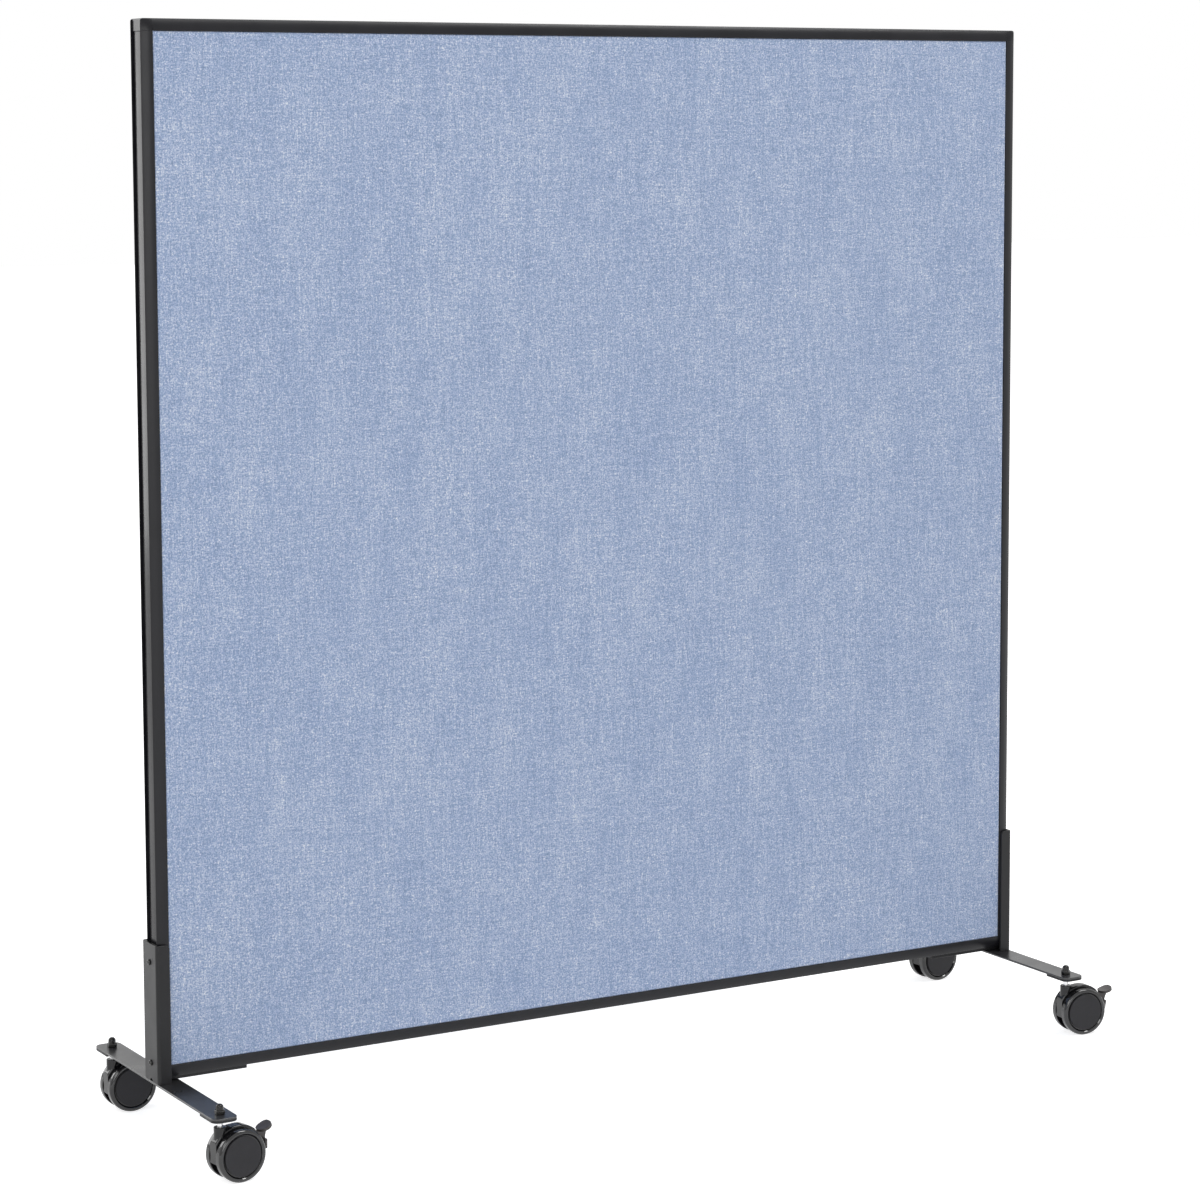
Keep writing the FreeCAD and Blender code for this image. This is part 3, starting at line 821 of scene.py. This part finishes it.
# %% Where each caster stands
def caster_place(corner):
    axis = Vector(joint_of[corner + "_near_roll"]["axis"])
    centre = Vector(joint_of[corner + "_near_roll"]["pos_m"])
    return Matrix.Translation(centre) @ Matrix.Rotation(math.atan2(-axis.x, axis.y), 4, "Z")


def placed(bm, corner):
    bmesh.ops.transform(bm, matrix=caster_place(corner), verts=bm.verts)
    return bm


def lathe_to_axle(bm, side):
    """Turns a part spun round Z so that it lies on the axle, on the far (+1) or near (-1) side."""
    bmesh.ops.rotate(bm, cent=Vector(), matrix=Matrix.Rotation(-side * math.pi / 2, 4, "X"), verts=bm.verts)
    return bm


# %% [markdown]
# ### Wheels and caps
# The wheel is glossy nylon with a fat rounded shoulder, and a matte cap sits in its side. A narrow
# groove between them reads as a dark ring, with bright glints where its edges turn to the light.

# %% Wheels and caps
wheel_radius = joint_of["front_left_near_roll"]["pos_m"][2]
wheel_inside, wheel_outside = 0.0094, 0.0218
shoulder_round, tread_round = 0.0046, 0.0012
cap_radius, cap_seat, cap_face = 0.0290, 0.0186, 0.0221
cap_round, cap_flat_share, cap_dish = 0.0009, 0.9, 0.0003
cap_groove, groove_depth = 0.0012, 0.0024
rim_slant, rim_round = 0.0024, 0.0002
bore_radius = 0.00305
wheel_steps = 96


def wheel():
    rim, groove_floor = cap_radius + cap_groove, wheel_outside - groove_depth
    return spun([(bore_radius, wheel_inside, 0.0), (wheel_radius, wheel_inside, tread_round),
                 (wheel_radius, wheel_outside, shoulder_round), (rim + rim_slant, wheel_outside, rim_round),
                 (rim, wheel_outside - rim_slant, rim_round), (rim, groove_floor, 0.0),
                 (cap_radius, groove_floor, 0.0), (cap_radius, cap_seat, 0.0),
                 (bore_radius, cap_seat, 0.0)], wheel_steps)


def wheel_cap():
    return spun([(0.0, cap_seat, 0.0), (cap_radius, cap_seat, 0.0), (cap_radius, cap_face, cap_round),
                 (cap_radius * cap_flat_share, cap_face, 0.0), (0.0, cap_face - cap_dish, 0.0)], wheel_steps)


for corner in caster_corners:
    for name, side in (("near", -1), ("far", 1)):
        node = corner + "_" + name
        make_piece(node + "_tyre", placed(lathe_to_axle(wheel(), side), corner), node + "_wheel",
                   finish=finishes["wheel_gloss"])
        make_piece(node + "_disc", placed(lathe_to_axle(wheel_cap(), side), corner), node + "_cap")

# %% [markdown]
# ### Body
# Seen from the side the body is a piece of a disc a little larger than the wheels. It hoods them
# from the skirt in front to the slant behind, and a round boss that takes the stem rises out of
# its crown. The braked bodies also have a slot behind, in which the lever's lug turns.

# %% Side plate of the caster body
body_half = 0.0088
crown_radius, crown_round, crown_end_run = 0.0423, 0.0026, 0.022
crown_steps, crown_round_segments, crown_share = 120, 4, 0.995
boss_radius = 0.009
skirt_run, skirt_bottom = 0.0365, -0.009
hub_drop = 0.0105
ear_run, ear_height = 0.0365, 0.014


def everything(bm):
    return bm.verts[:] + bm.edges[:] + bm.faces[:]


def keep_side(bm, point, outward):
    """Cuts a flat face along a line and drops what lies outside it."""
    bmesh.ops.bisect_plane(bm, geom=everything(bm), plane_co=Vector(point), plane_no=Vector(outward),
                           clear_outer=True)


def body_plate():
    bm = bmesh.new()
    bmesh.ops.create_circle(bm, cap_ends=True, radius=crown_radius, segments=crown_steps,
                            matrix=Matrix.Rotation(math.pi / 2, 4, "X"))
    keep_side(bm, (-skirt_run, 0, 0), (-1, 0, 0))
    keep_side(bm, (0, 0, -hub_drop), (-(hub_drop + skirt_bottom), 0, -skirt_run))
    keep_side(bm, (0, 0, -hub_drop), (ear_height - boss_radius + hub_drop, 0, -ear_run))
    keep_side(bm, (ear_run, 0, ear_height), (crown_radius - ear_height, 0, ear_run - crown_end_run))
    extruded(bm, Vector((0, 2 * body_half, 0)))
    bmesh.ops.translate(bm, verts=bm.verts, vec=Vector((0, -body_half, 0)))
    crown = edges_with(bm, lambda one, two: min(one.xz.length, two.xz.length) > crown_radius * crown_share
                       and abs(one.y - two.y) < close_by)
    return rounded(bm, crown, crown_round, crown_round_segments)


# %% Caster bodies with boss and brake slot
trail = (Vector(joint_of["rear_left_near_roll"]["pos_m"]) - stem_places["rear_left"]).xy.length
boss_top, boss_bottom, boss_round, boss_steps = 0.043, 0.0, 0.0012, 56
boss_bore, bore_bottom, bore_round = 0.0042, 0.009, 0.0004
slot_low, slot_high = Vector((0.0235, -0.00415, 0.003)), Vector((0.045, 0.00415, 0.026))
union_overlap = 0.0005
body_edge = 0.0005


def boss():
    bm = spun([(0.0, boss_bottom, 0.0), (boss_radius, boss_bottom, 0.0), (boss_radius, boss_top, boss_round),
               (boss_bore, boss_top, bore_round), (boss_bore, bore_bottom, 0.0), (0.0, bore_bottom, 0.0)],
              boss_steps)
    bmesh.ops.translate(bm, verts=bm.verts, vec=Vector((-trail, 0, 0)))
    return bm


def caster_body(braked):
    plate = body_plate()
    if braked:
        plate = combined(plate, block(slot_low, slot_high), "DIFFERENCE")
    bore = round_bar(boss_bore + union_overlap, Vector((-trail, 0, bore_bottom - union_overlap)),
                     Vector((-trail, 0, boss_top)))
    return combined(combined(plate, bore, "DIFFERENCE"), boss(), "UNION")


for corner in caster_corners:
    body = caster_body(corner.startswith("front"))
    make_piece(corner + "_housing", placed(body, corner), corner + "_body", body_edge)

# %% [markdown]
# ### Brake lever
# The lever is a leaf-shaped toe plate on a curved spine, with a shoe that comes down on both wheels.
# The plate is drawn flat, sliced across so that it can bow, and tilted to its resting slope. The
# press at which each lever was left is read from the lower end of its joint's range.

# %% Toe plate
paddle_base, paddle_tip = Vector((0.0345, 0, 0.0285)), Vector((0.0545, 0, 0.0375))
paddle_half_base, paddle_half_middle, paddle_half_tip = 0.0060, 0.0145, 0.0085
base_round, middle_round, tip_round = 0.004, 0.007, 0.005
paddle_thickness, paddle_sag, paddle_slices = 0.0040, 0.0013, 7


def paddle():
    slope = paddle_tip - paddle_base
    length = slope.length
    leaf = [(0.0, -paddle_half_base, base_round), (length / 2, -paddle_half_middle, middle_round),
            (length, -paddle_half_tip, tip_round), (length, paddle_half_tip, tip_round),
            (length / 2, paddle_half_middle, middle_round), (0.0, paddle_half_base, base_round)]
    bm = pushed_out(leaf, lambda along, across: Vector((along, across, 0)),
                    Vector((0, 0, -paddle_thickness)))
    for step in range(1, paddle_slices):
        bmesh.ops.bisect_plane(bm, geom=everything(bm), plane_no=Vector((1, 0, 0)),
                               plane_co=Vector((length * step / paddle_slices, 0, 0)))
    for vert in bm.verts:
        share = vert.co.x / length
        vert.co.z -= paddle_sag * 4 * share * (1.0 - share)
    tilt = Matrix.Translation(paddle_base) @ Matrix.Rotation(-math.atan2(slope.z, slope.x), 4, "Y")
    bmesh.ops.transform(bm, matrix=tilt, verts=bm.verts)
    return bm


# %% Spine and shoe
pivot = Vector((0.030, 0, 0.014))
lug_reach, lug_round = 0.005, 0.0045
spine_half = 0.00375
spine_root_share, spine_end_share, spine_drop_share = 0.3, 0.85, 0.7
neck_run, neck_height, neck_round = 0.0462, 0.020, 0.004
heel_round, toe_low_round, toe_high_round = 0.001, 0.0015, 0.002
shoe_inside, shoe_outside, shoe_bottom, shoe_top, shoe_half = 0.0422, 0.0464, 0.001, 0.015, 0.0105
shoe_round, shoe_segments = 0.0018, 4
lever_edge = 0.0006


def spine():
    slope = paddle_tip - paddle_base
    root, end = paddle_base + slope * spine_root_share, paddle_base + slope * spine_end_share
    drop = paddle_thickness * spine_drop_share
    heel, toe = shoe_inside + union_overlap, shoe_outside - union_overlap
    sole = shoe_bottom + union_overlap
    side = [(pivot.x - lug_reach, pivot.z - lug_reach, lug_round), (heel, shoe_top - union_overlap, 0.0),
            (heel, sole, heel_round), (toe, sole, toe_low_round), (toe, shoe_top, toe_high_round),
            (neck_run, neck_height, neck_round), (end.x, end.z - drop, 0.0),
            (root.x, root.z - drop, 0.0), (pivot.x - lug_reach, pivot.z + lug_reach, lug_round)]
    return pushed_out(side, lambda run, height: Vector((run, -spine_half, height)),
                      Vector((0, 2 * spine_half, 0)))


def brake_lever(press):
    shoe = block(Vector((shoe_inside, -shoe_half, shoe_bottom)), Vector((shoe_outside, shoe_half, shoe_top)))
    outer = edges_with(shoe, lambda one, two: min(one.x, two.x) > shoe_inside)
    rounded(shoe, outer, shoe_round, shoe_segments)
    bm = combined(combined(spine(), shoe, "UNION"), paddle(), "UNION")
    bmesh.ops.rotate(bm, cent=pivot, matrix=Matrix.Rotation(press, 4, "Y"), verts=bm.verts)
    return bm


for corner in ("front_left", "front_right"):
    press = -math.radians(joint_of[corner + "_brake_press"]["range_deg"][0])
    make_piece(corner + "_lever", placed(brake_lever(press), corner), corner + "_brake_lever", lever_edge)

# %% [markdown]
# ## Solids that stay
# Axles, pins, boards and the core are right as they are, and hardly show. They keep their solids and
# only take a finish.

# %% Give the solids their finish
for node, solid in frame["nodes"].items():
    solid.data.materials.clear()
    solid.data.materials.append(finishes[slot_of[node]])
print("finished", len(frame["nodes"]), "solids")

# %% [markdown]
# ## Floor, light and camera
# The screen stands in a white studio. The world and the floor answer white to the camera and to
# reflections, while the light that falls on the screen stays at a plain level. Near the screen the floor
# adds its glow to the light that it really gets, so the shadows stay, and far off it fades to plain
# white. One soft box stands at the left, one hangs overhead, and a wide low one in front lights the cloth
# evenly. A tall weak one behind the left end is there for its reflection: it draws the bright band along
# the crowned end strip.

# %% White world and pale floor
white = (1.0, 1.0, 1.0, 1.0)
floor_grey, floor_roughness = (0.82, 0.82, 0.82), 0.9


def seen_or_mirrored(tree):
    path = add_node(tree, "ShaderNodeLightPath")
    either = sums(tree, "MAXIMUM", path.outputs["Is Camera Ray"], path.outputs["Is Glossy Ray"])
    return sums(tree, "MAXIMUM", either, path.outputs["Is Transmission Ray"])


def white_world(light_level):
    world = bpy.data.worlds.new("white_studio")
    bpy.context.scene.world = world
    world.use_nodes = True
    tree = world.node_tree
    lift = sums(tree, "MULTIPLY", seen_or_mirrored(tree), 1.0 - light_level)
    sky = tree.nodes["Background"]
    sky.inputs["Color"].default_value = white
    tree.links.new(sums(tree, "ADD", lift, light_level), sky.inputs["Strength"])


def pale_floor(size, near_glow, near_radius, far_radius):
    bm = bmesh.new()
    bmesh.ops.create_grid(bm, x_segments=1, y_segments=1, size=size)
    mesh = bpy.data.meshes.new("studio_floor")
    bm.to_mesh(mesh)
    bm.free()
    floor = bpy.data.objects.new("studio_floor", mesh)
    bpy.context.scene.collection.objects.link(floor)
    finish, tree, shader = start_finish("pale_floor", floor_grey, floor_roughness)
    reach = add_node(tree, "ShaderNodeVectorMath", {0: places(tree)}, operation="LENGTH").outputs["Value"]
    fade = {"Value": reach, "From Min": near_radius, "From Max": far_radius,
            "To Min": near_glow, "To Max": 1.0}
    level = add_node(tree, "ShaderNodeMapRange", fade).outputs[0]
    strength = sums(tree, "MULTIPLY", seen_or_mirrored(tree), level)
    glow = add_node(tree, "ShaderNodeEmission", {"Color": white, "Strength": strength})
    both = add_node(tree, "ShaderNodeAddShader", {0: shader.outputs[0], 1: glow.outputs[0]})
    tree.links.new(both.outputs[0], tree.nodes["Material Output"].inputs["Surface"])
    mesh.materials.append(finish)


white_world(light_level=0.36)
pale_floor(size=30.0, near_glow=0.72, near_radius=1.2, far_radius=3.0)
print("white world and pale floor")

# %% Soft boxes
panel_middle = (0.0, 0.0, 0.85)
panel_upper_left = (-0.5, 0.0, 1.4)
left_end = (-post_high.x, 0.0, 1.2)


def soft_box(name, place, target, width, height, power):
    light = bpy.data.lights.new(name, "AREA")
    light.shape, light.size, light.size_y, light.energy = "RECTANGLE", width, height, power
    lamp = bpy.data.objects.new(name, light)
    bpy.context.scene.collection.objects.link(lamp)
    lamp.location = place
    lamp.rotation_euler = (Vector(target) - Vector(place)).to_track_quat("-Z", "Y").to_euler()
    lamp.visible_camera = False
    print(name, power, "watts")


soft_box("left_box", (-5.84, -3.92, 4.69), panel_middle, width=2.4, height=2.4, power=92.0)
soft_box("overhead_box", (2.73, -2.10, 6.94), panel_middle, width=1.4, height=4.0, power=240.0)
soft_box("front_box", (-2.60, -6.20, 1.90), panel_upper_left, width=5.0, height=1.8, power=88.0)
soft_box("end_box", (-2.20, 2.64, 1.50), left_end, width=1.3, height=2.0, power=27.0)

# %% Camera at the photograph's place
camera_place = Vector((-2.5704, -4.3850, 1.4732))
camera_yaw, camera_pitch, camera_roll = 0.52843, 0.10601, -0.003725
image_pixels, focal_pixels, principal_row = 1200.0, 3309.7, 481.6
sensor_width = 36.0


def place_camera():
    lens = bpy.data.cameras.new("camera")
    lens.sensor_width = sensor_width
    lens.lens = sensor_width * focal_pixels / image_pixels
    lens.shift_y = (principal_row - image_pixels / 2) / image_pixels
    camera = bpy.data.objects.new("camera", lens)
    bpy.context.scene.collection.objects.link(camera)
    turn = (Matrix.Rotation(-camera_yaw, 4, "Z") @ Matrix.Rotation(math.pi / 2 - camera_pitch, 4, "X")
            @ Matrix.Rotation(camera_roll, 4, "Z"))
    camera.matrix_world = Matrix.Translation(camera_place) @ turn
    bpy.context.scene.camera = camera
    print("camera with a lens of", round(lens.lens, 1), "mm")


place_camera()
bpy.context.scene.view_settings.view_transform = "Standard"
